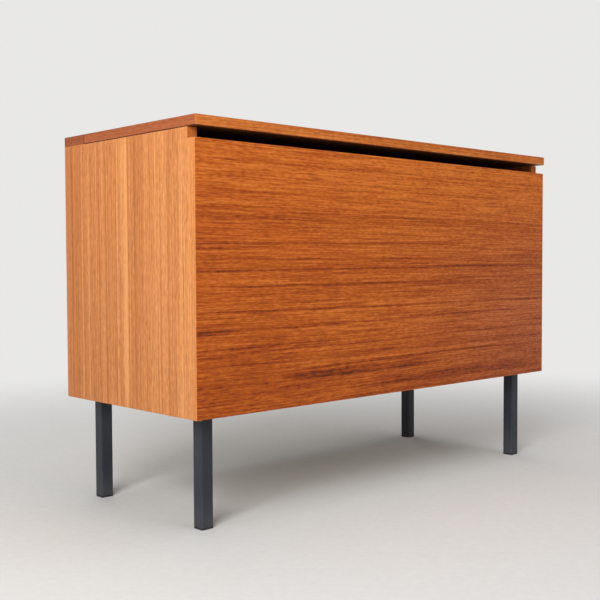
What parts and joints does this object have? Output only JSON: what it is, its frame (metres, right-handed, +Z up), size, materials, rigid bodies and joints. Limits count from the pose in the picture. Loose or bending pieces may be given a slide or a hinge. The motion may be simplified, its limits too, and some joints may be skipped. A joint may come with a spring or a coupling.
{
  "type": "sideboard",
  "caption": "Low teak-veneered chest on square steel legs, with a lift-up lid on a continuous hinge, a finger gap above the plain front panel, and two slotted lid stays.",
  "frame": {"origin": "floor level, under the middle of the whole object's box", "axes": "+X to the right seen from the front, +Y to the back, +Z up; the front panel faces -Y"},
  "size_m": [1.03, 0.4226, 0.71],
  "materials": {
    "side_veneer": "oiled teak veneer, vertical grain",
    "front_veneer": "oiled teak veneer, horizontal grain",
    "top_veneer": "oiled teak veneer, grain along the width",
    "lipping": "oiled solid teak",
    "inner_board": "thinly lacquered veneered board",
    "plywood": "unfinished plywood",
    "beech": "unfinished beech",
    "leg_paint": "satin dark grey paint",
    "foot_plastic": "matte black",
    "screw_steel": "zinc plated",
    "stay_steel": "nickel plated, satin",
    "brass": "aged, satin",
    "felt": "pressed wool felt"
  },
  "bodies": {
    "carcass": {"side_left": "side_veneer", "side_right": "side_veneer", "side_front_lipping_left": "lipping", "side_front_lipping_right": "lipping", "side_rear_lipping_left": "lipping", "side_rear_lipping_right": "lipping", "front_panel_lipping": "lipping", "strip_lipping_left": "lipping", "strip_lipping_right": "lipping", "front_panel": "front_veneer", "top_strip": "top_veneer", "bottom_panel": "inner_board", "back_panel": "plywood", "mitre_spline_left": "plywood", "mitre_spline_right": "plywood", "rear_rail": "beech", "bottom_dowels": "beech", "rail_dowels": "beech", "leg_front_left": "leg_paint", "leg_front_right": "leg_paint", "leg_rear_left": "leg_paint", "leg_rear_right": "leg_paint", "leg_plate_front_left": "leg_paint", "leg_plate_front_right": "leg_paint", "leg_plate_rear_left": "leg_paint", "leg_plate_rear_right": "leg_paint", "leg_glide_front_left": "foot_plastic", "leg_glide_front_right": "foot_plastic", "leg_glide_rear_left": "foot_plastic", "leg_glide_rear_right": "foot_plastic", "strip_screws": "screw_steel", "back_screws": "screw_steel", "leg_screws": "screw_steel", "stay_screws_side": "screw_steel", "hinge_pin": "screw_steel", "hinge_leaf_fixed": "brass", "hinge_screws_fixed": "brass", "stay_guide_left": "brass", "stay_guide_right": "brass", "stay_plate_left": "stay_steel", "stay_plate_right": "stay_steel"},
    "lid": {"lid_panel": "top_veneer", "lid_front_lipping": "lipping", "lid_left_lipping": "lipping", "lid_right_lipping": "lipping", "lid_rear_lipping": "lipping", "felt_pads": "felt", "hinge_leaf_lid": "brass", "hinge_screws_lid": "brass", "stay_bracket_left": "stay_steel", "stay_bracket_right": "stay_steel", "stay_pivot_left": "brass", "stay_pivot_right": "brass", "stay_screws_lid": "screw_steel"},
    "stay_left": {"stay_arm_left": "stay_steel"},
    "stay_right": {"stay_arm_right": "stay_steel"}
  },
  "joints": [
    {"name": "lid_hinge", "type": "hinge", "parent": "carcass", "child": "lid", "pos_m": [0, 0.13875, 0.708], "axis": [-1, 0, 0], "range_deg": [0, 85]},
    {"name": "stay_left_swing", "type": "hinge", "parent": "lid", "child": "stay_left", "pos_m": [-0.48945, -0.05899, 0.678], "axis": [-1, 0, 0], "range_deg": [-42.5, 0]},
    {"name": "stay_right_swing", "type": "hinge", "parent": "lid", "child": "stay_right", "pos_m": [0.48945, -0.05899, 0.678], "axis": [-1, 0, 0], "range_deg": [-42.5, 0]}
  ],
  "couplings": [
    {"joint": "stay_left_swing", "follows": "lid_hinge", "ratio": -0.5},
    {"joint": "stay_right_swing", "follows": "lid_hinge", "ratio": -0.5}
  ]
}
